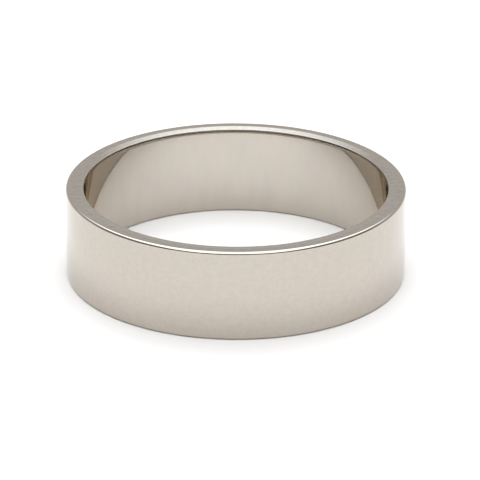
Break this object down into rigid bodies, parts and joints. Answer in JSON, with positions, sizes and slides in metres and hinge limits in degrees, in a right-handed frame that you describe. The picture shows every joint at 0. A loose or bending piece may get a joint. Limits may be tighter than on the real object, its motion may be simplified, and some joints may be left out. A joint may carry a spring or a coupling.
{
  "type": "wedding band",
  "caption": "Plain flat wedding band in polished white gold: a seamless ring with straight walls, flat edges and a lightly eased bore, worn on a finger.",
  "frame": {"origin": "centre of the lower edge face's plane, on the finger axis, where the band lies flat on a surface", "axes": "+Z along the finger axis, up from the lower edge face to the upper one; +X and +Y across the bore, alike because the band is round"},
  "size_m": [0.0222, 0.0222, 0.006],
  "materials": {
    "white_gold": "polished"
  },
  "bodies": {
    "root": {"band": "white_gold"}
  },
  "joints": []
}
